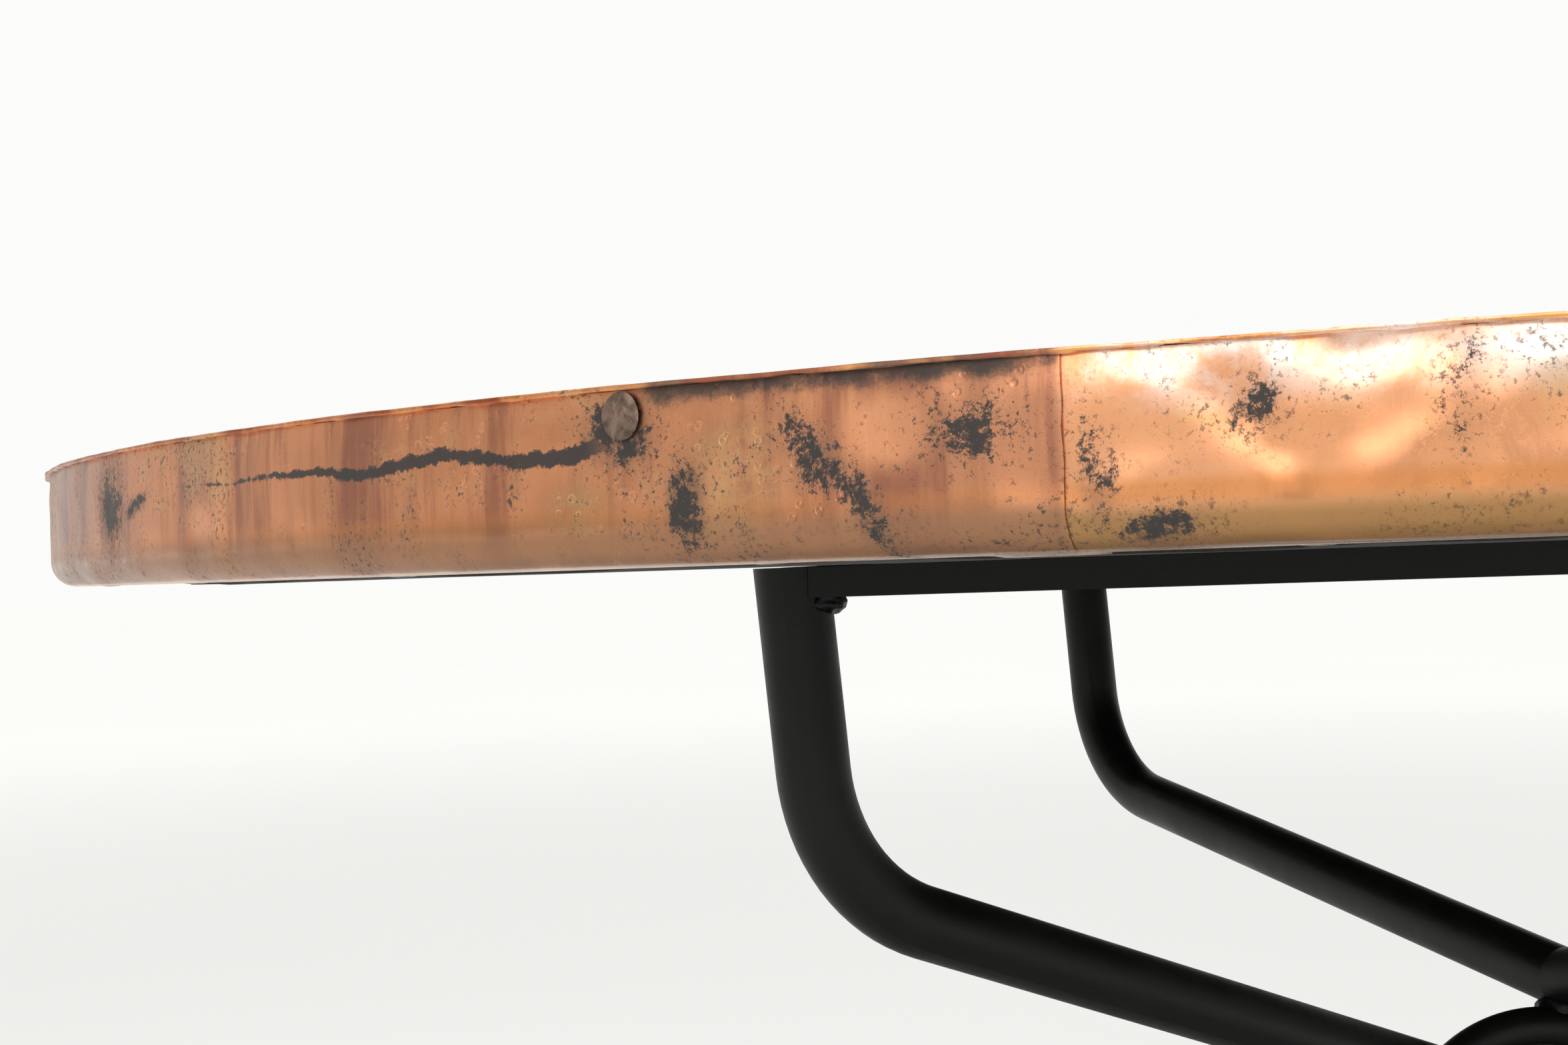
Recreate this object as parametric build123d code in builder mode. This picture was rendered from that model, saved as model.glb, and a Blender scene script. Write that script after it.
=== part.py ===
"""Round coffee table: a copper-clad drum-edged top on a welded base of bent steel pipe.

The base is an hourglass. Four upper legs drop from a flat-bar frame under the top, bend
inwards and meet in crossing pairs at an upright ring. Four lower legs mirror them down to
the floor. The front is -Y, the left is -X, and the floor is Z = 0. Sizes are in millimetres.
"""
import os
from math import cos, hypot, radians, sin

from build123d import *

os.makedirs("parts", exist_ok=True)

# Top
table_height = 468.0
rim_height = 32.0
rim_radius = 503.0
sheet_thickness = 1.0
lip_overhang = 1.2
rim_round = 7.0
rim_flange = 22.0
liner_radius = 470.0
liner_drop = 1.0
band_count = 4
first_seam_angle = 259.1
lap_angle = 1.5
joggle_angle = 0.3
seam_gap_angle = 0.02

# Nails and tacks
boss_radius = 4.2
boss_height = 1.7
boss_depth = 5.4
boss_before_seam = 8.0
nail_radius = 1.3
nail_length = 18.0
tack_count = 32
tack_head_radius = 3.0
tack_head_height = 0.7
tack_radius = 0.9
tack_length = 12.0

# Flat-bar frame under the top
corner_x = 206.5
corner_y = 237.0
bar_width = 25.0
bar_thickness = 8.5
bar_inset = 4.5
cope_clearance = 0.2
pad_thickness = 1.0
pad_radius = 11.0
screw_radius = 2.4
screw_clearance = 0.35
screw_head_radius = 5.2
screw_head_height = 2.8
screw_length = 32.0
screw_spread = 0.62

# Bent pipe legs and the ring
pipe_radius = 10.65
pipe_wall = 2.6
bend_radius = 55.0
deep_bend_drop = 94.0
deep_lean = 7.9
deep_hub_drop = 206.6
shallow_bend_drop = 109.0
shallow_lean = 13.0
shallow_hub_drop = 157.4
ring_pipe_radius = 6.75
ring_outer_radius = 52.2
ring_angle = 16.0
ring_offset = 13.0

# Feet and welds
glide_thickness = 3.0
glide_radius = 12.0
plug_length = 8.0
plug_clearance = 1.2
corner_weld_radius = 6.5
hub_weld_radius = 6.0

# Levels worked out from the sizes above
underside = table_height - rim_height
sheet_bottom = table_height - sheet_thickness
board_bottom = underside + sheet_thickness
board_radius = rim_radius - sheet_thickness
liner_bottom = underside - liner_drop
bar_top = liner_bottom - pad_thickness
bar_bottom = bar_top - bar_thickness
middle = underside / 2
diagonal = hypot(corner_x, corner_y)
band_step = 360 / band_count
on_bottom = (Align.CENTER, Align.CENTER, Align.MIN)


def save(piece, name):
    """Label a finished piece and write it to its own STEP file."""
    piece.part.label = name
    export_step(piece.part, f"parts/{name}.step")


def turned(point_radius, angle):
    """The X, Y of a point at a radius and an angle about the table's axis."""
    return (point_radius * cos(radians(angle)), point_radius * sin(radians(angle)))


def outward_plane(point_radius, angle, height):
    """A plane that faces away from the table's axis."""
    return Plane(origin=(*turned(point_radius, angle), height), z_dir=(*turned(1, angle), 0))


def angles_from(start, count):
    """Equally spaced angles around the table."""
    return [start + 360 / count * step for step in range(count)]


boss_angles = angles_from(first_seam_angle - boss_before_seam, band_count)
tack_angles = angles_from(first_seam_angle + 180 / tack_count, tack_count)
tack_circle = rim_radius - (rim_round + rim_flange) / 2
boss_planes = [outward_plane(rim_radius, a, table_height - boss_depth) for a in boss_angles]
tack_places = [(*turned(tack_circle, a), underside) for a in tack_angles]

# Two screws on each bar, as places in plan
bar_x = corner_x - bar_inset
bar_y = corner_y - bar_inset
screw_plan = [(s * corner_x * screw_spread, e * bar_y) for s in (-1, 1) for e in (-1, 1)]
screw_plan += [(s * bar_x, e * corner_y * screw_spread) for s in (-1, 1) for e in (-1, 1)]
screw_places = [(x, y, bar_bottom) for x, y in screw_plan]


# ------------------------------------------------------------ fasteners
with BuildPart() as one_nail:
    with BuildSketch():
        Circle(boss_radius)
    extrude(amount=boss_height)
    fillet(one_nail.faces().sort_by(Axis.Z)[-1].edges(), boss_height * 0.9)
    with BuildSketch():
        Circle(nail_radius)
    extrude(amount=-nail_length)

with BuildPart() as rim_bosses:
    with Locations(*boss_planes):
        add(one_nail.part)
save(rim_bosses, "rim_bosses")

with BuildPart() as one_tack:
    Cylinder(tack_radius, tack_length, align=on_bottom)
    with BuildSketch():
        Circle(tack_head_radius)
    extrude(amount=-tack_head_height)
    fillet(one_tack.faces().sort_by(Axis.Z)[0].edges(), tack_head_height * 0.8)

with BuildPart() as rim_tacks:
    with Locations(*tack_places):
        add(one_tack.part)
save(rim_tacks, "rim_tacks")

with BuildPart() as countersink:
    Cone(screw_head_radius, screw_radius, screw_head_height, align=on_bottom)

with BuildPart() as one_screw:
    Cylinder(screw_radius, screw_length, align=on_bottom)
    add(countersink.part)
    with BuildSketch():
        Rectangle(screw_radius * 2, screw_radius * 0.45)
        Rectangle(screw_radius * 0.45, screw_radius * 2)
    extrude(amount=screw_head_height * 0.5, mode=Mode.SUBTRACT)

with BuildPart() as frame_screws:
    with Locations(*screw_places):
        add(one_screw.part)
save(frame_screws, "frame_screws")

# ------------------------------------------------------------ wooden top and its liner
with BuildPart() as top_board:
    with BuildSketch(Plane.XY.offset(board_bottom)):
        Circle(board_radius)
    extrude(amount=sheet_bottom - board_bottom)
    fillet(top_board.faces().sort_by(Axis.Z)[0].edges(), rim_round - sheet_thickness)
    add(rim_bosses.part, mode=Mode.SUBTRACT)
    add(rim_tacks.part, mode=Mode.SUBTRACT)
    with Locations(*screw_places):
        Cylinder(screw_radius, screw_length, align=on_bottom, mode=Mode.SUBTRACT)
save(top_board, "top_board")

with BuildPart() as underside_liner:
    with BuildSketch(Plane.XY.offset(liner_bottom)):
        Circle(liner_radius)
        with Locations(*screw_plan):
            Circle(screw_radius + screw_clearance, mode=Mode.SUBTRACT)
    extrude(amount=board_bottom - liner_bottom)
save(underside_liner, "underside_liner")

# ------------------------------------------------------------ copper skin
with BuildPart() as copper_top_sheet:
    with BuildSketch(Plane.XY.offset(sheet_bottom)):
        Circle(rim_radius + lip_overhang)
    extrude(amount=sheet_thickness)
    fillet(copper_top_sheet.edges(), sheet_thickness * 0.35)
save(copper_top_sheet, "copper_top_sheet")


def upright_plane(angle):
    """A vertical plane through the table's axis, with local X outwards and local Y up."""
    return Plane(origin=(0, 0, 0), x_dir=(*turned(1, angle), 0), z_dir=(*turned(1, angle - 90), 0))


def rim_band(seam_angle):
    """One length of rim: wall, round-over, turned-under flange and the tongue that laps on."""
    wall_foot = underside + rim_round
    flange_radius = rim_radius - rim_flange
    round_radius = rim_radius - rim_round
    with BuildPart() as band:
        with BuildSketch(upright_plane(seam_angle)):
            with BuildLine():
                wall = Line((rim_radius, sheet_bottom), (rim_radius, wall_foot))
                under = JernArc(wall @ 1, (0, -1), rim_round, -90)
                flange = Line(under @ 1, (flange_radius, underside))
                edge = Line(flange @ 1, (flange_radius, board_bottom))
                inside = Line(edge @ 1, (round_radius, board_bottom))
                turn = JernArc(inside @ 1, (1, 0), rim_round - sheet_thickness, 90)
                back = Line(turn @ 1, (board_radius, sheet_bottom))
                Line(back @ 1, wall @ 0)
            make_face()
        revolve(axis=Axis.Z, revolution_arc=band_step - seam_gap_angle)
        with BuildSketch(upright_plane(seam_angle + band_step - joggle_angle)):
            with Locations((rim_radius + sheet_thickness / 2, (wall_foot + sheet_bottom) / 2)):
                Rectangle(sheet_thickness, sheet_bottom - wall_foot)
        revolve(axis=Axis.Z, revolution_arc=joggle_angle + lap_angle)
        add(rim_bosses.part, mode=Mode.SUBTRACT)
        add(rim_tacks.part, mode=Mode.SUBTRACT)
    return band


for number, seam_angle in enumerate(angles_from(first_seam_angle, band_count), 1):
    save(rim_band(seam_angle), f"copper_rim_band_{number}")


# ------------------------------------------------------------ bent pipe legs
def bent_leg(side, end, bend_drop, lean, hub_drop, grow=0.0, wall=pipe_wall):
    """An upper leg, from the frame corner on the given side and end to the table's axis."""
    inward = (-side * corner_x / diagonal, -end * corner_y / diagonal)
    leg_plane = Plane(origin=(side * corner_x, end * corner_y, 0), x_dir=(*inward, 0),
                      z_dir=(inward[1], -inward[0], 0))
    bend_height = underside - bend_drop
    hub_height = underside - hub_drop
    upper_slope = lean / (bar_top - bend_height)
    lower_slope = (bend_height - hub_height) / (diagonal - lean)
    spare = 2 * pipe_radius
    start = (-upper_slope * spare, bar_top + spare)
    finish = (diagonal + spare, hub_height - lower_slope * spare)
    with BuildPart() as leg:
        with BuildLine(leg_plane) as axis:
            FilletPolyline(start, (lean, bend_height), finish, radius=bend_radius)
        with BuildSketch(Plane(origin=axis.line @ 0, z_dir=axis.line % 0)):
            Circle(pipe_radius + grow)
            if wall:
                Circle(pipe_radius - wall, mode=Mode.SUBTRACT)
        sweep()
        split(bisect_by=Plane.XY.offset(bar_top), keep=Keep.BOTTOM)
        split(bisect_by=Plane(origin=(0, 0, 0), z_dir=(*inward, 0)), keep=Keep.BOTTOM)
    return leg


def mirrored(upper):
    """The lower leg that mirrors an upper one about the middle of the base, cut off at its glide."""
    with BuildPart() as lower:
        mirror(upper.part, about=Plane.XY.offset(middle))
        split(bisect_by=Plane.XY.offset(glide_thickness), keep=Keep.TOP)
    return lower


deep_pair = (deep_bend_drop, deep_lean, deep_hub_drop)
shallow_pair = (shallow_bend_drop, shallow_lean, shallow_hub_drop)
corners = {
    "front_left": (-1, -1, deep_pair),
    "back_left": (-1, 1, shallow_pair),
    "back_right": (1, 1, deep_pair),
    "front_right": (1, -1, shallow_pair),
}
upper_legs = {}
lower_legs = {}
for corner, (side, end, pair) in corners.items():
    upper_legs[corner] = bent_leg(side, end, *pair)
    lower_legs[corner] = mirrored(upper_legs[corner])
    save(upper_legs[corner], f"upper_leg_{corner}")
    save(lower_legs[corner], f"lower_leg_{corner}")
all_legs = [leg.part for leg in (*upper_legs.values(), *lower_legs.values())]

# ------------------------------------------------------------ upright ring at the waist
ring_x = -ring_offset * corner_x / diagonal
ring_y = -ring_offset * corner_y / diagonal
with BuildPart() as centre_ring:
    with Locations(Plane(origin=(ring_x, ring_y, middle), z_dir=(*turned(1, ring_angle - 90), 0))):
        Torus(ring_outer_radius - ring_pipe_radius, ring_pipe_radius)
save(centre_ring, "centre_ring")


# ------------------------------------------------------------ flat-bar frame
def frame_bar(centre, size):
    """A flat bar laid under the top, coped to the legs and drilled for its screws."""
    with BuildPart() as bar:
        with Locations((*centre, bar_bottom)):
            Box(*size, bar_thickness, align=on_bottom)
        for side, end, pair in corners.values():
            cope = bent_leg(side, end, *pair, grow=cope_clearance, wall=0)
            add(cope.part, mode=Mode.SUBTRACT)
        with Locations(*screw_places):
            Cylinder(screw_radius + screw_clearance, bar_thickness, align=on_bottom,
                     mode=Mode.SUBTRACT)
            add(countersink.part, mode=Mode.SUBTRACT)
    return bar


side_length = 2 * (bar_y - bar_width / 2)
frame_bars = {
    "front": frame_bar((0, -bar_y), (2 * corner_x, bar_width)),
    "back": frame_bar((0, bar_y), (2 * corner_x, bar_width)),
    "left": frame_bar((-bar_x, 0), (bar_width, side_length)),
    "right": frame_bar((bar_x, 0), (bar_width, side_length)),
}
for place, bar in frame_bars.items():
    save(bar, f"frame_bar_{place}")

with BuildPart() as frame_pads:
    with BuildSketch(Plane.XY.offset(bar_top)):
        with Locations(*screw_plan):
            Circle(pad_radius)
            Circle(screw_radius + screw_clearance, mode=Mode.SUBTRACT)
    extrude(amount=pad_thickness)
save(frame_pads, "frame_pads")

# ------------------------------------------------------------ welds
def weld_bead(place, bead_radius, neighbours, ceiling=table_height):
    """A rounded weld bead below a ceiling, with the pieces that it joins cut out of it."""
    with BuildPart() as bead:
        with Locations(place):
            Sphere(bead_radius)
        split(bisect_by=Plane.XY.offset(ceiling), keep=Keep.BOTTOM)
        for neighbour in neighbours:
            add(neighbour, mode=Mode.SUBTRACT, clean=False)
    return bead.part


rods = {}
for corner, (side, end, pair) in corners.items():
    rods[corner] = bent_leg(side, end, *pair, wall=0)
all_rods = [rod.part for rod in rods.values()] + [mirrored(rod).part for rod in rods.values()]

corner_beads = []
weld_reach = pipe_radius + corner_weld_radius / 3
for corner, (side, end, pair) in corners.items():
    for reach_x, reach_y in ((weld_reach, 0), (0, weld_reach)):
        place = (side * (corner_x - reach_x), end * (corner_y - reach_y), bar_bottom)
        corner_beads.append(weld_bead(place, corner_weld_radius, [rods[corner].part], bar_bottom))

with BuildPart() as corner_welds:
    add(corner_beads, clean=False)
save(corner_welds, "corner_welds")

hub_beads = []
for leg in (*upper_legs.values(), *lower_legs.values()):
    on_leg, on_ring = leg.part.closest_points(centre_ring.part)
    place = (on_leg + on_ring) / 2
    hub_beads.append(weld_bead(place, hub_weld_radius, [centre_ring.part, *all_rods]))

with BuildPart() as hub_welds:
    add(hub_beads, clean=False)
save(hub_welds, "hub_welds")

# ------------------------------------------------------------ feet
with BuildPart() as one_glide:
    with BuildSketch():
        Circle(glide_radius)
    extrude(amount=glide_thickness)
    fillet(one_glide.faces().sort_by(Axis.Z)[0].edges(), glide_thickness / 3)
    with BuildSketch(Plane.XY.offset(glide_thickness)):
        Circle(pipe_radius - pipe_wall - plug_clearance)
    extrude(amount=plug_length)

for corner, (side, end, pair) in corners.items():
    with BuildPart() as foot_glide:
        with Locations((side * corner_x, end * corner_y)):
            add(one_glide.part)
    save(foot_glide, f"foot_glide_{corner}")
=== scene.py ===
"""The looks of a copper-clad round coffee table on a black welded base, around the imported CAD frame."""
import math

import bpy
import numpy as np
from mathutils import Matrix, Vector, noise


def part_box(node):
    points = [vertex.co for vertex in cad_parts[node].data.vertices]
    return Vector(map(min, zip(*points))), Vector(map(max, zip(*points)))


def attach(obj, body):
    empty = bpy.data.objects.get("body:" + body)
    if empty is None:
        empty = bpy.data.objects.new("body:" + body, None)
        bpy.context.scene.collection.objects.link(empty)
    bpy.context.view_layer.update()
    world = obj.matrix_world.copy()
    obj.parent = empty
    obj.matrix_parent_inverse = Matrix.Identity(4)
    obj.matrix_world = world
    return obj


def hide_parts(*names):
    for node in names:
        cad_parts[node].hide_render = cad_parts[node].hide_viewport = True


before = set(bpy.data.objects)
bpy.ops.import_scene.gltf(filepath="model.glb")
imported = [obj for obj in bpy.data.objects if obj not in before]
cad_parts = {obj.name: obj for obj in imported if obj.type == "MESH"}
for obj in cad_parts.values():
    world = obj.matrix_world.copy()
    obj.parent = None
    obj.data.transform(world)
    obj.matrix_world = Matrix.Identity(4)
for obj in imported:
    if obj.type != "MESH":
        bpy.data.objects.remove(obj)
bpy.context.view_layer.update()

# ---------------------------------------------------------------- places read from the frame, in metres
sheet_low, sheet_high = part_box("copper_top_sheet")
table_top = sheet_high.z
sheet_thickness = sheet_high.z - sheet_low.z
lip_radius = sheet_high.x
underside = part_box("copper_rim_band_1")[0].z
lip_overhang = 0.0012
rim_radius = lip_radius - lip_overhang
rim_height = table_top - underside
rim_round = 0.007
rim_flange = 0.022
band_count = 4
band_step = math.tau / band_count
first_seam = math.radians(259.1)
lap_angle = math.radians(1.5)
joggle_angle = math.radians(0.3)
boss_angle = math.radians(251.1)
boss_height = underside + 0.0265
pipe_radius = 0.01065
rim_marks = 2600
top_marks = 5200
lap_lift = 0.00045
lap_drop = 0.0004

rng = np.random.default_rng(41)


# ---------------------------------------------------------------- mesh helpers
def make_piece(name, verts, faces, material, nodes, sharp=50):
    """A smooth-shaded mesh piece that rides on the table and replaces its CAD nodes."""
    mesh = bpy.data.meshes.new(name)
    mesh.from_pydata([tuple(v) for v in verts], [], faces)
    mesh.validate()
    mesh.shade_smooth()
    mesh.set_sharp_from_angle(angle=math.radians(sharp))
    piece = bpy.data.objects.new(name, mesh)
    bpy.context.scene.collection.objects.link(piece)
    mesh.materials.append(material)
    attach(piece, "root")
    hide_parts(*nodes)


def grid_faces(columns, rows, wrap_columns=False, wrap_rows=False, first=0):
    """Quads over a grid of vertices stored column by column."""
    faces = []
    for c in range(columns if wrap_columns else columns - 1):
        left = first + c * rows
        right = first + (c + 1) % columns * rows
        for r in range(rows if wrap_rows else rows - 1):
            up = (r + 1) % rows
            faces.append((left + r, right + r, right + up, left + up))
    return faces


def closed_faces(columns, rows, first=0):
    """Quads round a closed set of columns, with a cap over the first row and one over the last."""
    faces = grid_faces(columns, rows, wrap_columns=True, first=first)
    faces.append(tuple(first + c * rows for c in reversed(range(columns))))
    faces.append(tuple(first + c * rows + rows - 1 for c in range(columns)))
    return faces


def ripple(angle, waves, seed):
    """Seeded uneven waves round the table, about -1 to 1, as a sum of whole-number harmonics."""
    draw = np.random.default_rng(seed)
    total = np.zeros_like(angle)
    weight = 0.0
    for low, high, strength in waves:
        for _ in range(5):
            total += strength * np.sin(draw.integers(low, high) * angle + draw.uniform(0, math.tau))
        weight += strength * 2.4
    return total / weight


def smooth(value, low, high):
    """A smooth step from 0 at low to 1 at high."""
    t = np.clip((value - low) / (high - low), 0, 1)
    return t * t * (3 - 2 * t)


# ---------------------------------------------------------------- copper skin
dents = []
for _ in range(rim_marks):
    dents.append((rng.uniform(0, math.tau), rng.uniform(0.002, rim_height), rng.uniform(0.003, 0.0068),
                  rng.uniform(0.00003, 0.00012)))


def rim_dents(angle, height):
    """How far hammer marks push the rim inwards, on a grid of angles and heights above the underside."""
    depth = np.zeros(np.broadcast(angle, height).shape)
    columns = angle[:, 0]
    for centre, level, size, deep in dents:
        away = (columns - centre + math.pi) % math.tau - math.pi
        near = np.abs(away) * rim_radius < 2.5 * size
        if near.any():
            along = (away[near] * rim_radius / size)[:, None]
            up = (height[near] - level) / size
            depth[near] += deep * np.exp(-(along ** 2 + up ** 2) ** 1.3)
    return depth


def rim_band(number, seam, material):
    """One length of copper rim, hammered, rolled under at the bottom and lapped over its neighbour."""
    columns = 372
    end = seam + band_step + lap_angle
    angle = np.linspace(seam, end, columns)[:, None]
    wall = np.linspace(rim_height - sheet_thickness, rim_round, 22)
    turn = np.linspace(0, math.pi / 2, 9)[1:]
    outer = [(0.0, h) for h in wall]
    outer += [(rim_round * (1 - math.cos(t)), rim_round * (1 - math.sin(t))) for t in turn]
    outer += [(rim_flange * 0.6, 0.0), (rim_flange, 0.0)]
    inner_round = rim_round - sheet_thickness
    inner = [(rim_flange, sheet_thickness)]
    inner += [(rim_round - inner_round * math.cos(t), rim_round - inner_round * math.sin(t))
              for t in np.linspace(math.pi / 2, 0, 5)]
    inner += [(sheet_thickness, rim_height - sheet_thickness)]
    profile = np.array(outer + inner)
    height = np.broadcast_to(profile[:, 1], (columns, len(profile)))
    wall_part = np.array([1.0] * (len(wall) + 5) + [0.6, 0.3, 0.1] + [0.0, 0.0] + [0.0] * 5 + [0.0, 1.0])
    # The marks are deeper round the half of the rim that starts at the first seam
    strength = 1.0 + 3.2 * smooth(np.sin(angle - first_seam), 0.0, 0.1)
    push = rim_dents(angle, height) * strength
    push += 0.00022 * (1 + ripple(angle, [(9, 40, 1.0), (40, 130, 0.4)], 5))
    push += 0.0007 * smooth(height, rim_height - 0.0095, rim_height + 0.002) ** 1.3
    end_edge = smooth(angle, seam + band_step - joggle_angle, seam + band_step + joggle_angle * 0.3)
    lift = lap_lift * end_edge
    radius = rim_radius - profile[:, 0] - push * wall_part + lift * (height > rim_round * 0.5)
    level = underside + height + 0.0001 * ripple(angle, [(20, 90, 1.0)], 8) * (height < 0.004) * (height > 0)
    level = level - lap_drop * end_edge * (height <= rim_round * 0.5)
    trim = 0.0002 * ripple(height * 300, [(1, 4, 1.0)], 31 + number)
    swing = angle + trim * smooth(angle, end - lap_angle, end)
    verts = np.stack([radius * np.cos(swing), radius * np.sin(swing), level], axis=-1)
    rows = len(profile)
    faces = grid_faces(columns, rows, wrap_rows=True)
    last = (columns - 1) * rows
    faces.append(tuple(range(rows)))
    faces.append(tuple(last + r for r in reversed(range(rows))))
    name = f"rim_band_{number}"
    make_piece(name, verts.reshape(-1, 3), faces, material, [f"copper_rim_band_{number}"], 38)


def hammered_field(size, count):
    """A square height field of overlapping planishing marks, as depths below the flat sheet."""
    cells = 520
    field = np.zeros((cells, cells))
    spacing = 2 * size / (cells - 1)
    for _ in range(count):
        x, y = rng.uniform(-size, size, 2)
        mark = rng.uniform(0.006, 0.013)
        deep = rng.uniform(0.00008, 0.00024)
        low_x, high_x = (int((v + size) / spacing) for v in (x - 2 * mark, x + 2 * mark))
        low_y, high_y = (int((v + size) / spacing) for v in (y - 2 * mark, y + 2 * mark))
        low_x, low_y = max(low_x, 0), max(low_y, 0)
        grid_x = np.arange(low_x, min(high_x, cells)) * spacing - size - x
        grid_y = np.arange(low_y, min(high_y, cells)) * spacing - size - y
        falloff = (grid_x[:, None] ** 2 + grid_y[None, :] ** 2) / mark ** 2
        part = field[low_x:low_x + len(grid_x), low_y:low_y + len(grid_y)]
        part += deep * np.exp(-falloff ** 1.4)
    return field, spacing


def top_sheet(material):
    """The hammered top with its dressed edge standing proud of the rim."""
    field, spacing = hammered_field(lip_radius, top_marks)
    columns = 1440
    angle = np.arange(columns)[:, None] * math.tau / columns
    rings = np.concatenate([np.linspace(0.004, rim_radius - 0.012, 84),
                            rim_radius + np.array([-0.009, -0.006, -0.004, -0.002, -0.0005, 0.0003])])
    wave = ripple(angle, [(20, 90, 1.0), (90, 420, 0.9)], 17)
    reach = lip_overhang * (0.6 + 0.14 * wave) - 0.0002
    droop = 0.00012 * np.maximum(0, 1 + ripple(angle, [(8, 60, 1.0), (60, 300, 0.7)], 23))
    foot = sheet_thickness * (1.02 + 0.22 * ripple(angle, [(30, 160, 1.0), (160, 500, 0.8)], 29))
    # The lip's rounded nose: share of the reach, and drop below the top face
    edge = [(1.0, 0.00005), (1.12, 0.0003), (1.14, 0.0006)]
    x, y = rings * np.cos(angle), rings * np.sin(angle)
    column = np.clip(((x + lip_radius) / spacing).astype(int), 0, field.shape[0] - 2)
    row = np.clip(((y + lip_radius) / spacing).astype(int), 0, field.shape[1] - 2)
    part_x = (x + lip_radius) / spacing - column
    part_y = (y + lip_radius) / spacing - row
    near = field[column, row] * (1 - part_x) + field[column + 1, row] * part_x
    far = field[column, row + 1] * (1 - part_x) + field[column + 1, row + 1] * part_x
    depth = near * (1 - part_y) + far * part_y
    depth = depth * (1 - smooth(rings, rim_radius - 0.01, rim_radius)) + droop * smooth(
        rings, rim_radius - 0.012, rim_radius)
    radius = np.concatenate([np.broadcast_to(rings, x.shape)]
                            + [rim_radius + reach * share for share, _ in edge]
                            + [rim_radius + reach * 0.9, np.full_like(angle, rim_radius - 0.004)], axis=1)
    drop = np.concatenate([depth] + [droop + share for _, share in edge]
                          + [foot, np.full_like(angle, sheet_thickness)], axis=1)
    verts = np.stack([radius * np.cos(angle), radius * np.sin(angle), table_top - drop], axis=-1)
    rows = radius.shape[1]
    faces = closed_faces(columns, rows)
    make_piece("top_sheet", verts.reshape(-1, 3), faces, material, ["copper_top_sheet"], 60)


# ---------------------------------------------------------------- node helpers
class Paint:
    """A node material built one socket at a time, in metres of object space."""

    def __init__(self, name):
        self.material = bpy.data.materials.new(name)
        self.material.use_nodes = True
        self.tree = self.material.node_tree
        self.shader = self.tree.nodes["Principled BSDF"]
        self.place = self.add("TexCoord").outputs["Object"]

    def add(self, kind, **settings):
        node = self.tree.nodes.new("ShaderNode" + kind)
        for name, value in settings.items():
            setattr(node, name, value)
        return node

    def put(self, socket, value):
        if isinstance(value, bpy.types.NodeSocket):
            self.tree.links.new(value, socket)
        elif value is not None:
            socket.default_value = value

    def math(self, operation, *values):
        node = self.add("Math", operation=operation)
        for socket, value in zip(node.inputs, values):
            self.put(socket, value)
        return node.outputs[0]

    def chain(self, operation, values):
        total = values[0]
        for value in values[1:]:
            total = self.math(operation, total, value)
        return total

    def times(self, *values):
        return self.chain("MULTIPLY", values)

    def plus(self, *values):
        return self.chain("ADD", values)

    def most(self, *values):
        return self.chain("MAXIMUM", values)

    def less(self, value, taken):
        return self.math("SUBTRACT", value, taken)

    def stretch(self, x, y, z):
        node = self.add("Mapping")
        self.put(node.inputs["Vector"], self.place)
        node.inputs["Scale"].default_value = (x, y, z)
        return node.outputs[0]

    def noise(self, scale, detail=6.0, rough=0.6, bend=0.0, place=None, shift=0.0):
        node = self.add("TexNoise", noise_dimensions="4D")
        self.put(node.inputs["Vector"], place or self.place)
        for name, value in (("Scale", scale), ("Detail", detail), ("Roughness", rough),
                            ("Distortion", bend), ("W", shift)):
            node.inputs[name].default_value = value
        return node.outputs["Fac"]

    def cells(self, scale):
        node = self.add("TexVoronoi", feature="F1")
        self.put(node.inputs["Vector"], self.place)
        node.inputs["Scale"].default_value = scale
        return node.outputs["Distance"]

    def step(self, value, low, high, to_low=0.0, to_high=1.0):
        node = self.add("MapRange", interpolation_type="SMOOTHSTEP")
        for name, number in (("Value", value), ("From Min", low), ("From Max", high),
                             ("To Min", to_low), ("To Max", to_high)):
            self.put(node.inputs[name], number)
        return node.outputs["Result"]

    def mix(self, share, first, second):
        node = self.add("Mix", data_type="RGBA")
        self.put(node.inputs[0], share)
        self.put(node.inputs[6], (*first, 1.0) if isinstance(first, tuple) else first)
        self.put(node.inputs[7], (*second, 1.0) if isinstance(second, tuple) else second)
        return node.outputs[2]

    def mix_number(self, share, first, second):
        """A number that goes from first to second as the share goes from 0 to 1."""
        return self.plus(first, self.times(share, second - first))

    def bump(self, height, strength, distance, before=None):
        node = self.add("Bump")
        node.inputs["Strength"].default_value = strength
        node.inputs["Distance"].default_value = distance
        self.put(node.inputs["Height"], height)
        self.put(node.inputs["Normal"], before)
        return node.outputs[0]

    def finish(self, color, rough, metal=0.0, normal=None, **fixed):
        self.put(self.shader.inputs["Base Color"], (*color, 1.0) if isinstance(color, tuple) else color)
        self.put(self.shader.inputs["Roughness"], rough)
        self.put(self.shader.inputs["Metallic"], metal)
        self.put(self.shader.inputs["Normal"], normal)
        for name, value in fixed.items():
            self.shader.inputs[name.replace("_", " ")].default_value = value
        return self.material


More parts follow.
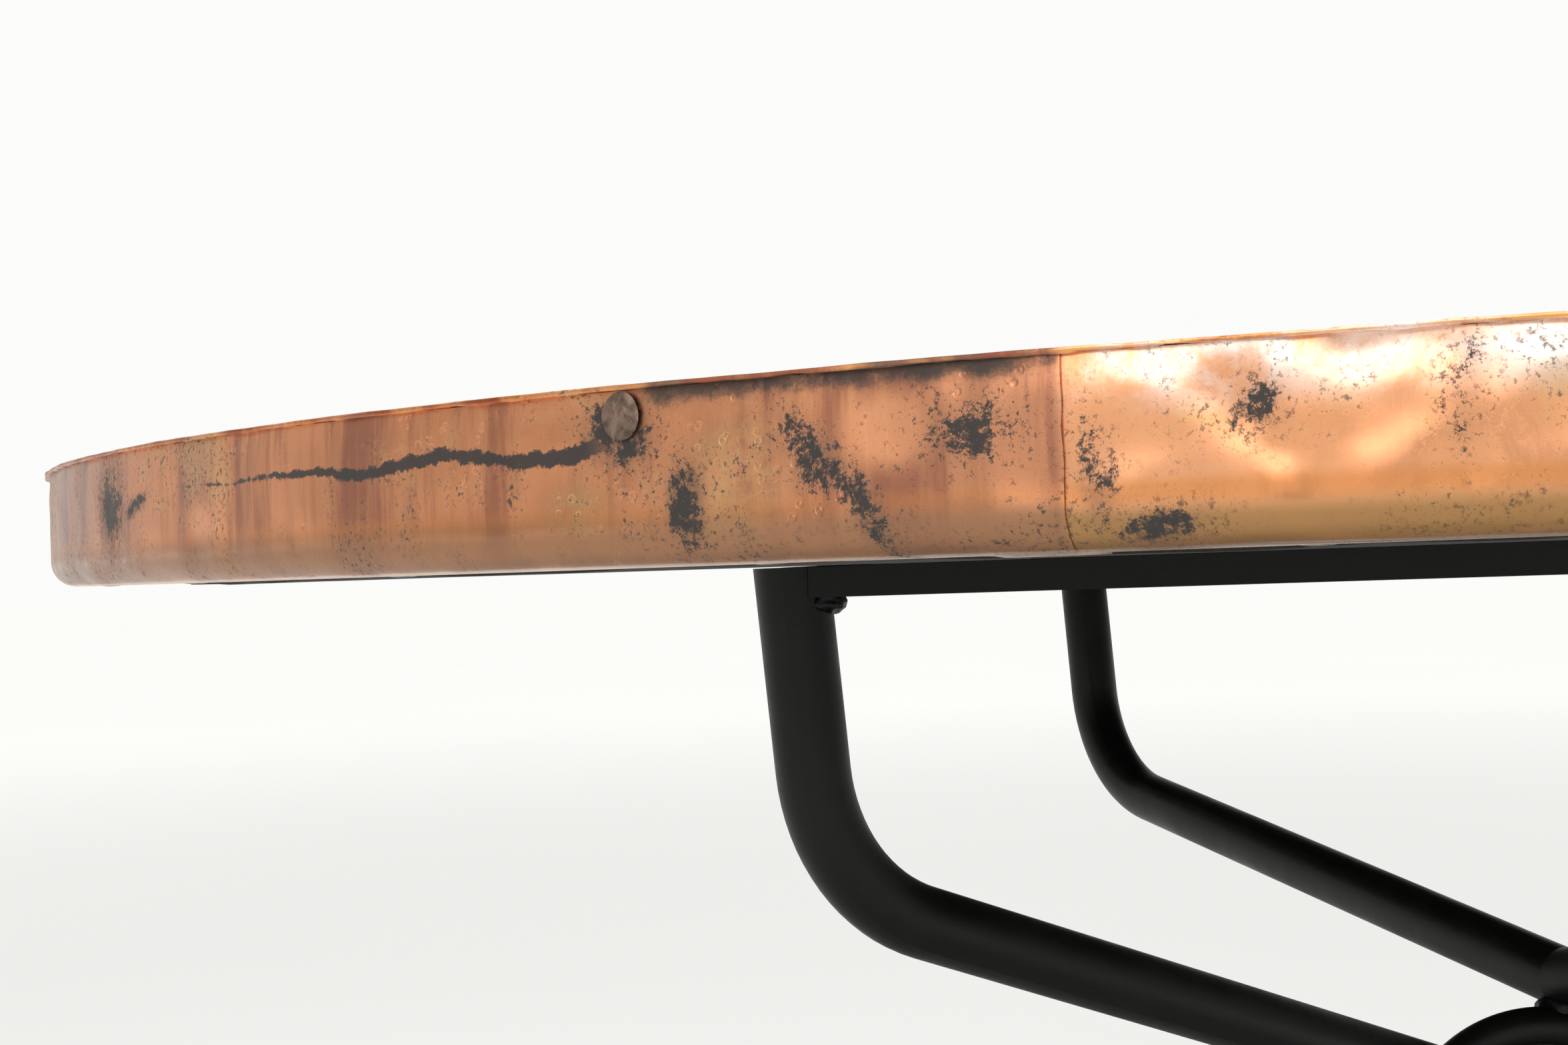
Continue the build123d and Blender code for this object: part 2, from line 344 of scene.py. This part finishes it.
# ---------------------------------------------------------------- copper
# Places on the rim are in mm: first the way along it from the edge of the first seam, to the right as seen
# from outside, then the height above the underside. A patch adds half its width and height in mm, its tilt in
# degrees and its strength.
mm = 1000
seam_edge = math.degrees(first_seam + lap_angle)
band_length = rim_radius * mm * band_step
dark_patches = [
    (-280, 19, 10, 10, 20, 1.0), (-260, 18, 8, 2, 15, 1.0), (-140, 12, 4, 9, 0, 0.5),
    (-110, 16, 3, 7, 0, 0.55), (-85, 23, 8, 6, 0, 0.95), (-70, 11, 4, 7, 0, 1.0), (-45, 18, 9, 4, -45, 0.95),
    (-35, 9, 3, 9, 30, 0.9), (-15, 20, 11, 6, 0, 0.68), (5, 12, 4, 9, 10, 0.75), (15, 3, 8, 4, 10, 0.75),
    (30, 21, 6, 5, 25, 0.64), (60, 21, 4, 9, -10, 0.64),
]
fresh_patches = [(-30, 21, 9, 7, 0, 1.0), (-220, 13, 14, 8, 0, 0.8)]
golden_patches = [(-60, 14, 11, 11, 0, 1.0), (-95, 10, 9, 6, 0, 0.85), (15, 14, 9, 10, 0, 0.8)]
# The long wavy streak ends at the nail head
streak_start, streak_end, streak_level, streak_thickness = -240, -80, 21, 1.5
streak_wave, streak_swing = 50, 1.0


def rim_places(paint):
    """Sockets for the way along the rim and the height, both in mm, and the radius in metres."""
    split = paint.add("SeparateXYZ")
    paint.put(split.inputs[0], paint.place)
    x, y, z = split.outputs
    turn = paint.math("ARCTAN2", paint.times(y, -1.0), paint.times(x, -1.0))
    degrees = paint.plus(paint.math("DEGREES", turn), 180.0)
    along = paint.times(paint.less(degrees, seam_edge), rim_radius * mm * math.tau / 360)
    height = paint.times(paint.less(z, underside), mm)
    radius = paint.math("SQRT", paint.plus(paint.times(x, x), paint.times(y, y)))
    return along, height, radius


def patch_field(paint, along, height, rows):
    """How near a place on the rim is to a patch, as a soft value that is highest in the middle of one."""
    spots = []
    for start, level, wide, tall, tilt, strength in rows:
        aside, up = paint.less(along, start), paint.less(height, level)
        c, s = math.cos(math.radians(tilt)), math.sin(math.radians(tilt))
        across = paint.plus(paint.times(aside, c / wide), paint.times(up, s / wide))
        rise = paint.plus(paint.times(up, c / tall), paint.times(aside, -s / tall))
        square = paint.plus(paint.times(across, across), paint.times(rise, rise))
        spots.append(paint.math("DIVIDE", strength, paint.plus(1.0, square)))
    return paint.most(*spots)


def streak_field(paint, along, height):
    """The dark streak that runs to the nail head, broken and thin at its start, from 0 to 1."""
    grow = paint.step(along, streak_start, streak_start + 115)
    tail = paint.step(along, streak_end, streak_end - 13)
    turns = paint.times(paint.less(along, streak_end - streak_wave * 1.25), math.tau / streak_wave)
    swing = paint.times(paint.math("SINE", turns), paint.times(grow, streak_swing))
    drift = paint.times(paint.less(paint.noise(60.0, 3, 0.5, shift=21.0), 0.5), 3.0)
    middle = paint.plus(swing, drift, streak_level)
    thick = paint.times(grow, tail, streak_thickness)
    torn = paint.times(paint.less(paint.noise(260.0, 10, 0.78, shift=2.0), 0.5), 6.0)
    away = paint.math("ABSOLUTE", paint.less(height, middle))
    line = paint.step(paint.less(paint.plus(thick, torn), away), -0.2, 0.35)
    return paint.times(line, paint.times(paint.step(along, streak_start, streak_start + 4), tail))


class CopperPaint(Paint):
    """The copper's material, with the sockets that its colour, oxide and relief share."""

    def __init__(self):
        super().__init__("patinated_copper")
        self.along, self.height, self.radius = rim_places(self)
        self.top = rim_height * mm
        self.on_wall = self.step(self.radius, rim_radius - 0.006, rim_radius - 0.003)
        next_seam = self.step(self.along, band_length + 2, band_length - 2)
        self.right = self.times(self.step(self.along, -2, 2), next_seam)
        self.drawn = self.stretch(1, 1, 0.08)
        self.cloud = self.noise(9.0, 5, 0.55)
        self.mottle = self.noise(38.0, 9, 0.7, 0.6, shift=3.1)
        ragged = self.step(self.noise(70.0, 12, 0.78, 0.6, shift=41.0), 0.42, 0.58)
        self.golden = self.times(self.step(self.patches(golden_patches), 0.3, 0.8), ragged)

    def patches(self, rows):
        return patch_field(self, self.along, self.height, rows)

    def metal_color(self):
        """Brown to orange metal with golden clouds and reddish brown runs, brighter right of the seam."""
        runs = self.noise(62.0, 8, 0.66, place=self.drawn, shift=9.0)
        color = self.mix(self.step(self.cloud, 0.36, 0.64), (0.56, 0.245, 0.13), (0.80, 0.34, 0.165))
        run_share = self.times(self.step(runs, 0.54, 0.4), self.mix_number(self.on_wall, 0.2, 0.72))
        color = self.mix(run_share, color, (0.30, 0.115, 0.08))
        gold = self.times(self.step(self.mottle, 0.5, 0.6), self.step(self.cloud, 0.42, 0.62))
        color = self.mix(self.times(gold, 0.6), color, (0.72, 0.41, 0.20))
        color = self.mix(self.times(self.golden, 0.8), color, (0.66, 0.385, 0.18))
        fresh = self.step(self.patches(fresh_patches), 0.35, 0.8)
        color = self.mix(self.times(fresh, 0.75), color, (0.90, 0.40, 0.20))
        bright = self.mix(self.step(self.cloud, 0.35, 0.65), (0.88, 0.40, 0.19), (0.84, 0.45, 0.28))
        bright_gold = self.times(self.step(self.mottle, 0.5, 0.62), 0.6)
        bright = self.mix(bright_gold, bright, (0.76, 0.47, 0.20))
        color = self.mix(self.times(self.right, self.on_wall, 0.88), color, bright)
        far_left = self.times(self.step(self.along, -280, -340), self.on_wall)
        return self.mix(self.times(far_left, 0.5), color, (0.42, 0.31, 0.25))

    def banded_color(self, color):
        """A painted pale highlight high on the bright side, an orange line and a browner foot painted as
        reflections, and a painted pale highlight along the lower edge.
        """
        # A painted highlight: pale colour high on the bright side, standing in for the reflection of an
        # overhead softbox
        high_up = self.step(self.height, self.top - 13, self.top - 4)
        polished = self.times(self.right, self.on_wall)
        near_seam = self.step(self.along, 350, 125)
        painted_highlight = self.times(high_up, self.step(self.mottle, 0.36, 0.56), near_seam, polished)
        color = self.mix(self.times(painted_highlight, 0.75), color, (0.92, 0.84, 0.79))
        # A painted reflection: an orange line where the wall begins to turn under
        painted_orange_reflection = self.times(self.step(self.height, 12.0, 9.5), self.step(self.height, 6.0, 8.5))
        color = self.mix(self.times(painted_orange_reflection, self.mix_number(self.right, 0.3, 0.7)), color, (0.72, 0.28, 0.09))
        # A painted reflection: darker olive brown on the rolled foot, standing in for the darker floor it
        # reflects
        low_from = self.mix_number(self.right, 11.0, 8.5)
        low = self.times(self.step(self.height, low_from, 4.5), self.on_wall)
        olive = self.mix(self.right, (0.33, 0.175, 0.10), (0.36, 0.205, 0.08))
        color = self.mix(self.times(low, 0.85), color, olive)
        # A painted highlight: a thin pale line along the lowest edge of the rim
        painted_bottom_highlight = self.step(self.plus(self.height, self.times(self.mottle, 0.8)), 1.1, 0.75)
        return self.mix(self.times(painted_bottom_highlight, 0.5), color, (0.90, 0.80, 0.70))

    def oxide(self):
        """Black oxide in torn patches, a smear at the top edge, the streak and specks, with a brown halo."""
        field = self.patches(dark_patches)
        torn = self.times(self.less(self.noise(80.0, 14, 0.86, 0.4, shift=7.7), 0.5), 7.0)
        dust = self.times(self.less(self.noise(640.0, 8, 0.85, shift=33.0), 0.5), 4.2)
        solid = self.step(self.times(field, self.plus(1.0, torn)), 0.3, 1.0)
        patch = self.times(self.step(self.plus(solid, dust), 0.42, 0.62), self.step(solid, 0.02, 0.12))
        rim_edge = self.times(self.step(self.height, self.top - 7.0, self.top - 1.5), self.on_wall)
        dark_run = self.times(self.step(self.along, -95, -70), self.step(self.along, 2, -2))
        smear_zone = self.times(rim_edge, self.plus(0.03, self.times(dark_run, 0.24)))
        smear = self.step(self.plus(self.noise(30.0, 12, 0.8, shift=4.4), smear_zone), 0.54, 0.8)
        smear = self.times(smear, self.step(self.plus(smear, dust), 0.1, 0.7, 0.6, 0.95))
        specks = self.step(self.noise(850.0, 6, 0.8, shift=6.0), 0.525, 0.6)
        gathered = self.most(self.step(self.mottle, 0.44, 0.56), self.golden, self.step(field, 0.08, 0.4))
        specks = self.times(specks, gathered, self.mix_number(self.right, 0.95, 0.75))
        specks = self.times(specks, self.mix_number(self.on_wall, 0.3, 1.0))
        oxide = self.most(patch, streak_field(self, self.along, self.height), smear, specks)
        grain = self.noise(210.0, 10, 0.75, shift=1.3)
        halo = self.times(self.step(field, 0.2, 0.7), self.step(self.mottle, 0.38, 0.6, 0.25, 0.8))
        return self.times(oxide, self.step(grain, 0.2, 0.42, 0.7, 0.97)), halo

    def edge_color(self, color):
        """The dressed edge of the top sheet, clean orange with red-brown stretches."""
        edge = self.times(self.step(self.radius, rim_radius + 0.0004, rim_radius + 0.0007),
                          self.math("GREATER_THAN", self.height, self.top - 1.6))
        clean_edge = self.mix(self.step(self.noise(55.0, 8, 0.66, shift=8.8), 0.44, 0.6),
                              (0.36, 0.085, 0.035), (0.84, 0.38, 0.13))
        return self.mix(edge, color, clean_edge)

    def relief(self, oxide):
        """Brushing, pits with raised rims left of the seam, the thickness of the oxide and low waves."""
        brushed = self.noise(300.0, 5, 0.62, place=self.drawn, shift=5.0)
        pit = self.cells(330.0)
        chosen = self.step(self.noise(45.0, 3, 0.5, shift=12.0), 0.56, 0.66)
        chosen = self.times(chosen, self.less(1.0, self.right))
        ring = self.times(self.step(pit, 0.12, 0.2), self.step(pit, 0.34, 0.24))
        raised = self.less(self.times(brushed, 0.5), self.times(ring, chosen))
        normal = self.bump(self.plus(raised, self.times(oxide, -0.2)), 0.2, 0.0006)
        return self.bump(self.noise(26.0, 3, 0.5, shift=15.0), 0.35, 0.0014, normal)


def copper():
    """Raw copper with heat colours, black oxide patches, specks and brushed runs."""
    paint = CopperPaint()
    oxide, halo = paint.oxide()
    color = paint.banded_color(paint.metal_color())
    color = paint.mix(halo, color, (0.27, 0.15, 0.095))
    color = paint.mix(oxide, color, (0.028, 0.027, 0.026))
    color = paint.edge_color(color)
    metal = paint.step(oxide, 0.0, 1.0, 1.0, 0.3)
    dull = paint.times(paint.most(oxide, halo), 0.22)
    rough = paint.plus(paint.step(paint.mottle, 0.3, 0.7, 0.22, 0.36), dull)
    return paint.finish(color, rough, metal, paint.relief(oxide))


def boss_copper():
    """The nail heads: dark brown tarnish with crescent scratches."""
    paint = Paint("tarnished_nail_head")
    blotch = paint.noise(260.0, 8, 0.7, 0.5)
    color = paint.mix(paint.step(blotch, 0.36, 0.64), (0.10, 0.07, 0.05), (0.30, 0.20, 0.15))
    scratch = paint.noise(900.0, 6, 0.7, place=paint.stretch(1, 1, 0.25))
    color = paint.mix(paint.step(scratch, 0.57, 0.66), color, (0.03, 0.025, 0.02))
    normal = paint.bump(paint.plus(blotch, scratch), 0.5, 0.0004)
    return paint.finish(color, paint.step(blotch, 0.3, 0.7, 0.36, 0.55), 0.85, normal)


# ---------------------------------------------------------------- base and other materials
def painted_steel(name, lumpy):
    """Satin black paint over steel, with brush drag, dust and a few rubbed spots."""
    paint = Paint(name)
    dust = paint.noise(34.0, 8, 0.66)
    peel = paint.noise(620.0, 4, 0.6, shift=2.0)
    sag = paint.noise(70.0, 4, 0.5, shift=4.0)
    color = paint.mix(paint.step(dust, 0.4, 0.7), (0.002, 0.002, 0.0018), (0.0048, 0.0047, 0.0042))
    rubbed = paint.step(paint.noise(150.0, 10, 0.75, shift=8.0), 0.69, 0.74)
    color = paint.mix(paint.times(rubbed, 0.5), color, (0.04, 0.034, 0.028))
    specks = paint.step(paint.cells(420.0), 0.075, 0.04)
    color = paint.mix(paint.times(specks, 0.4), color, (0.06, 0.057, 0.053))
    rough = paint.step(dust, 0.3, 0.7, 0.36, 0.5)
    normal = paint.bump(peel, 0.12, 0.0003)
    normal = paint.bump(sag, 0.25 * lumpy, 0.0012, normal)
    return paint.finish(color, rough, 0.0, normal, Specular_IOR_Level=0.25)


def plywood():
    """Birch plywood: pale plies on the edge and fine grain on the face."""
    paint = Paint("birch_plywood")
    grain = paint.noise(45.0, 9, 0.6, 1.2, place=paint.stretch(0.12, 1.0, 1.0))
    ply = paint.add("TexWave", bands_direction="Z")
    paint.put(ply.inputs["Vector"], paint.place)
    ply.inputs["Scale"].default_value = 75.0
    ply.inputs["Distortion"].default_value = 0.6
    color = paint.mix(paint.step(grain, 0.35, 0.65), (0.42, 0.27, 0.14), (0.60, 0.43, 0.25))
    color = paint.mix(paint.times(ply.outputs["Fac"], 0.45), color, (0.30, 0.17, 0.08))
    return paint.finish(color, 0.62, 0.0, paint.bump(grain, 0.2, 0.0005))


def hardboard():
    """Black-stained hardboard with a fibrous face."""
    paint = Paint("black_hardboard")
    fibre = paint.noise(420.0, 8, 0.75, 0.8)
    worn = paint.noise(14.0, 6, 0.6, shift=2.0)
    color = paint.mix(paint.step(fibre, 0.35, 0.7), (0.012, 0.011, 0.01), (0.04, 0.035, 0.03))
    color = paint.mix(paint.times(paint.step(worn, 0.55, 0.7), 0.4), color, (0.075, 0.06, 0.045))
    return paint.finish(color, 0.8, 0.0, paint.bump(fibre, 0.5, 0.0005))


def small_metal(name, dark, light):
    """Plated or brass hardware with tarnish in its low places."""
    paint = Paint(name)
    tarnish = paint.noise(340.0, 8, 0.7)
    color = paint.mix(paint.step(tarnish, 0.38, 0.66), dark, light)
    rough = paint.step(tarnish, 0.3, 0.7, 0.48, 0.26)
    return paint.finish(color, rough, 0.95, paint.bump(tarnish, 0.25, 0.0003))


def moulded(name, tone, rough):
    """Moulded black nylon or rubber with a fine grain and scuffs."""
    paint = Paint(name)
    texture = paint.noise(900.0, 5, 0.6)
    scuff = paint.noise(80.0, 9, 0.7, shift=3.0)
    color = paint.mix(paint.step(scuff, 0.55, 0.68), (tone,) * 3, (tone * 3.2,) * 3)
    scuffed = paint.step(scuff, 0.4, 0.7, rough, rough + 0.15)
    return paint.finish(color, scuffed, 0.0, paint.bump(texture, 0.3, 0.0002))


# ---------------------------------------------------------------- pieces made here
def liner(material):
    """The liner under the top, with an uneven cut edge that droops a little between its fixings."""
    low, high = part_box("underside_liner")
    columns = 480
    angle = np.arange(columns)[:, None] * math.tau / columns
    cut = 0.004 * (ripple(angle, [(5, 30, 1.0), (30, 120, 0.5)], 61) - 1)
    sag = 0.0006 * (1 - ripple(angle, [(4, 22, 1.0), (22, 80, 0.5)], 67))
    # Share of the radius, share of the cut edge's unevenness, and 1 on the lower face or 0 on the upper one
    outline = [(0.002, 0, 1.0), (0.3, 0, 1.0), (0.9, 0, 1.0), (0.96, 0.4, 1.0), (1.0, 1.0, 1.0),
               (1.0, 1.0, 0.0), (0.9, 0.0, 0.0), (0.002, 0, 0.0)]
    radius = np.concatenate([high.x * share + cut * edge for share, edge, _ in outline], axis=1)
    level = np.concatenate([low.z + sag * edge * under + (high.z - low.z) * (1 - under) + 0 * angle
                            for _, edge, under in outline], axis=1)
    verts = np.stack([radius * np.cos(angle), radius * np.sin(angle), level], axis=-1)
    rows = len(outline)
    faces = closed_faces(columns, rows)
    make_piece("liner_sheet", verts.reshape(-1, 3), faces, material, ["underside_liner"])


def plywood_core(material):
    """The board inside the copper, a little smaller than the skin's hammer marks reach."""
    low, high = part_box("top_board")
    columns, edge, corner = 240, rim_radius - 0.0042, 0.005
    angle = np.arange(columns)[:, None] * math.tau / columns
    outline = [(0.01, high.z), (edge * 0.5, high.z), (edge, high.z), (edge, low.z + corner)]
    outline += [(edge - corner * (1 - math.cos(t)), low.z + corner * (1 - math.sin(t)))
                for t in np.linspace(0.3, math.pi / 2, 5)]
    outline += [(edge * 0.5, low.z), (0.01, low.z)]
    points = np.array(outline)
    radius, level = points[:, 0] + 0 * angle, points[:, 1] + 0 * angle
    radius = radius + 0.0003 * ripple(angle, [(20, 80, 1.0)], 71) * (radius > edge * 0.9)
    level = level - 0.0006 * (points[:, 1] > low.z + corner)
    verts = np.stack([radius * np.cos(angle), radius * np.sin(angle), level], axis=-1)
    rows = len(outline)
    faces = closed_faces(columns, rows)
    make_piece("plywood_core", verts.reshape(-1, 3), faces, material, ["top_board"])


def nail_heads(material):
    """Domed nail heads with a beaten face, one beside each seam of the rim."""
    head_radius, dome, rings, spokes = 0.0042, 0.0009, 12, 40
    verts, faces = [], []
    for step in range(band_count):
        angle = boss_angle + step * band_step
        out = Vector((math.cos(angle), math.sin(angle), 0))
        along = Vector((-math.sin(angle), math.cos(angle), 0))
        first = len(verts)
        for spoke in range(spokes):
            turn = math.tau * spoke / spokes
            for ring in range(1, rings + 1):
                share = ring / rings
                swell = 1 + 0.05 * noise.noise(Vector((math.cos(turn), math.sin(turn), step)) * 1.4)
                wide = head_radius * share * swell
                rise = dome * (1 - share ** 2.6) + 0.0001
                place = along * (wide * math.cos(turn)) + Vector((0, 0, wide * math.sin(turn)))
                rise -= 0.00028 * (1 + noise.noise(place * 700 + Vector((step, 0, 0)))) * (1 - share ** 4)
                rise -= 0.00005 if share == 1 else 0
                verts.append(out * (rim_radius + max(rise, -0.0004)) + place + Vector((0, 0, boss_height)))
        faces += closed_faces(spokes, rings, first)
    make_piece("nail_heads", verts, faces, material, ["rim_bosses"], 75)


def tack_heads(material):
    """Flat heads of the tacks under the rim, hammered almost flush."""
    verts, faces = [], []
    rings, spokes, proud, bedded = 5, 20, 0.00025, 0.0006
    for number, (low, high) in enumerate(islands("rim_tacks")):
        x, y, half = (low[0] + high[0]) / 2, (low[1] + high[1]) / 2, (high[0] - low[0]) / 2
        first = len(verts)
        for spoke in range(spokes):
            turn = math.tau * spoke / spokes
            for ring in range(1, rings + 1):
                wide = half * ring / rings * (1 + 0.05 * math.sin(3 * turn + number))
                level = underside - proud * (1 - (ring / rings) ** 3)
                verts.append((x + wide * math.cos(turn), y + wide * math.sin(turn), level))
            foot = half * 0.9
            verts.append((x + foot * math.cos(turn), y + foot * math.sin(turn), underside + bedded))
        faces += closed_faces(spokes, rings + 1, first)
    make_piece("tack_heads", verts, faces, material, ["rim_tacks"], 60)


def islands(node):
    """The separate solids of a CAD node, each as its lowest and highest corner."""
    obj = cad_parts[node]
    links = {}

    def root(v):
        while links.setdefault(v, v) != v:
            links[v] = links[links[v]]
            v = links[v]
        return v

    places = {}
    for edge in obj.data.edges:
        ends = [tuple(round(c, 6) for c in obj.data.vertices[i].co) for i in edge.vertices]
        a, b = root(ends[0]), root(ends[1])
        links[a] = b
    for vertex in obj.data.vertices:
        spot = tuple(round(c, 6) for c in vertex.co)
        places.setdefault(root(spot), []).append(spot)
    groups = [np.array(spots) for spots in places.values()]
    return sorted((tuple(g.min(axis=0)), tuple(g.max(axis=0))) for g in groups)


def weld_lumps(name, node, material, grow, shift=lambda centre: Vector()):
    """Lumpy weld beads with overlapping ripples, one at each bead of a CAD node, moved by the shift."""
    verts, faces = [], []
    spokes, rings = 36, 22
    for number, (low, high) in enumerate(islands(node)):
        low, high = Vector(low), Vector(high)
        centre, half = (low + high) / 2, (high - low) / 2 + Vector((grow, grow, grow))
        centre += shift(centre)
        first = len(verts)
        for spoke in range(spokes):
            turn = math.tau * spoke / spokes
            for ring in range(rings):
                tilt = math.pi * (ring + 0.5) / rings
                flat = math.sin(tilt)
                ray = Vector((flat * math.cos(turn), flat * math.sin(turn), math.cos(tilt)))
                lump = 1 + 0.16 * noise.noise(ray * 1.7 + Vector((number * 3.1, 0, 0)))
                lump += 0.045 * math.sin(9 * (ray.x + ray.y) + 1.3 * number) + 0.03 * noise.noise(ray * 7)
                verts.append(centre + Vector(r * h for r, h in zip(ray, half)) * lump)
        faces += closed_faces(spokes, rings, first)
    make_piece(name, verts, faces, material, [node], 80)


def into_corner(centre):
    """A small move up and towards the nearest leg, so that a corner bead runs into the leg and the bar."""
    side = "left" if centre.x < 0 else "right"
    end = "front" if centre.y < 0 else "back"
    low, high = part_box(f"upper_leg_{end}_{side}")
    leg_x = low.x + pipe_radius if side == "left" else high.x - pipe_radius
    leg_y = low.y + pipe_radius if end == "front" else high.y - pipe_radius
    towards_leg = (Vector((leg_x, leg_y, centre.z)) - centre).normalized()
    return towards_leg * 0.004 + Vector((0, 0, 0.002))


copper_skin = copper()
steel_paint = painted_steel("satin_black_paint", 0.6)
weld_paint = painted_steel("painted_weld", 1.6)
for number in range(1, band_count + 1):
    rim_band(number, first_seam + (number - 1) * band_step, copper_skin)
top_sheet(copper_skin)
plywood_core(plywood())
liner(hardboard())
nail_heads(boss_copper())
tack_heads(small_metal("tarnished_brass_tacks", (0.09, 0.06, 0.025), (0.26, 0.18, 0.09)))
weld_lumps("corner_weld_beads", "corner_welds", weld_paint, 0.0004, into_corner)
weld_lumps("hub_weld_beads", "hub_welds", weld_paint, 0.0010)

node_paints = {
    "frame_screws": small_metal("zinc_screws", (0.20, 0.20, 0.19), (0.48, 0.48, 0.47)),
    "frame_pads": moulded("black_rubber", 0.012, 0.6),
}
glide_plastic = moulded("black_nylon", 0.012, 0.42)
for name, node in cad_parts.items():
    if node.hide_render:
        continue
    material = node_paints.get(name, glide_plastic if name.startswith("foot_glide") else steel_paint)
    for slot in node.material_slots:
        slot.material = material

# ---------------------------------------------------------------- floor, light and camera
floor_paint = Paint("glowing_pale_floor")
tint = floor_paint.noise(0.8, 2, 0.5)
# Painted light: the floor glows more with distance, lifting the far floor to the backdrop's brightness
far_glow = floor_paint.step(rim_places(floor_paint)[2], 1.2, 6.0, 0.0, 0.235)
floor_paint.put(floor_paint.shader.inputs["Emission Strength"], far_glow)
floor_paint.finish(floor_paint.mix(tint, (0.67, 0.675, 0.66), (0.70, 0.705, 0.69)), 0.85,
                   Emission_Color=(1.0, 1.0, 0.98, 1.0))
floor_radius, floor_level = 60, -0.0005
bpy.ops.mesh.primitive_circle_add(
    vertices=96, radius=floor_radius, fill_type="NGON", location=(0, 0, floor_level))
floor = bpy.context.object
floor.name = "glowing_pale_floor"
floor.data.materials.append(floor_paint.material)


def map_range(nodes, limits, kind="LINEAR"):
    """A Map Range node with its four limits, from low and high to low and high."""
    node = nodes.new("ShaderNodeMapRange")
    node.interpolation_type = kind
    for name, number in zip(("From Min", "From Max", "To Min", "To Max"), limits):
        node.inputs[name].default_value = number
    return node


def studio_world():
    """A soft white room that is dimmer at the sides, and an even pale background for the camera."""
    # Place from the far side at 0 to behind the camera at 1, and the brightness there
    walls = [(0.0, 0.8), (0.3, 0.62), (0.48, 0.66), (0.64, 0.5), (0.76, 0.5), (0.86, 0.74), (0.93, 1.0),
             (0.982, 1.0)]
    straight_behind, backdrop = 0.3, 0.97
    world = bpy.data.worlds.new("studio")
    bpy.context.scene.world = world
    world.use_nodes = True
    links, nodes = world.node_tree.links, world.node_tree.nodes
    background = nodes["Background"]
    split = nodes.new("ShaderNodeSeparateXYZ")
    links.new(nodes.new("ShaderNodeTexCoord").outputs["Generated"], split.inputs[0])
    behind = map_range(nodes, (1.0, -1.0, 0.0, 1.0))
    links.new(split.outputs["Y"], behind.inputs["Value"])
    side_ramp = nodes.new("ShaderNodeValToRGB")
    ramp = side_ramp.color_ramp
    ramp.interpolation = "EASE"
    for place, level in walls:
        ramp.elements.new(place).color = (level, level, level, 1.0)
    ramp.elements.remove(ramp.elements[0])
    ramp.elements[-1].color = (straight_behind, straight_behind, straight_behind, 1.0)
    links.new(behind.outputs[0], side_ramp.inputs[0])
    ceiling = map_range(nodes, (0.05, 0.6, 0.0, 0.45), "SMOOTHSTEP")
    links.new(split.outputs["Z"], ceiling.inputs["Value"])
    total = nodes.new("ShaderNodeMath")
    total.operation = "ADD"
    links.new(side_ramp.outputs["Color"], total.inputs[0])
    links.new(ceiling.outputs["Result"], total.inputs[1])
    shade = nodes.new("ShaderNodeMix")
    shade.data_type = "FLOAT"
    links.new(nodes.new("ShaderNodeLightPath").outputs["Is Camera Ray"], shade.inputs[0])
    links.new(total.outputs[0], shade.inputs[2])
    shade.inputs[3].default_value = backdrop
    links.new(shade.outputs[0], background.inputs["Strength"])
    background.inputs["Color"].default_value = (1.0, 1.0, 0.985, 1.0)


def softbox(name, place, aim, width, height, power):
    """A soft rectangular light aimed at a point."""
    data = bpy.data.lights.new(name, "AREA")
    data.shape = "RECTANGLE"
    data.size, data.size_y, data.energy = width, height, power
    light = bpy.data.objects.new(name, data)
    light.location = place
    light.rotation_euler = (Vector(aim) - Vector(place)).to_track_quat("-Z", "Y").to_euler()
    bpy.context.scene.collection.objects.link(light)


studio_world()
table_middle = (0, 0, underside)
softbox("overhead_softbox", (0.2, -0.4, 2.7), table_middle, width=2.2, height=2.2, power=32)
softbox("window_behind", (-0.5, -3.3, 1.55), table_middle, width=2.6, height=1.0, power=13)

camera_data = bpy.data.cameras.new("camera")
camera_data.sensor_width = 36
camera_data.lens = 51.7
camera_data.clip_start = 0.01
camera = bpy.data.objects.new("camera", camera_data)
bpy.context.scene.collection.objects.link(camera)
bpy.context.scene.camera = camera
turn_left, tilt_up, lean_right = math.radians(17.24), math.radians(0.87), math.radians(2.09)
pose = (Matrix.Rotation(turn_left, 4, "Z") @ Matrix.Rotation(math.pi / 2 + tilt_up, 4, "X")
        @ Matrix.Rotation(-lean_right, 4, "Z"))
camera_place = Vector((-0.0207, -0.8407, underside + 0.0011))
camera.matrix_world = Matrix.Translation(camera_place) @ pose
bpy.context.scene.view_settings.view_transform = "Standard"
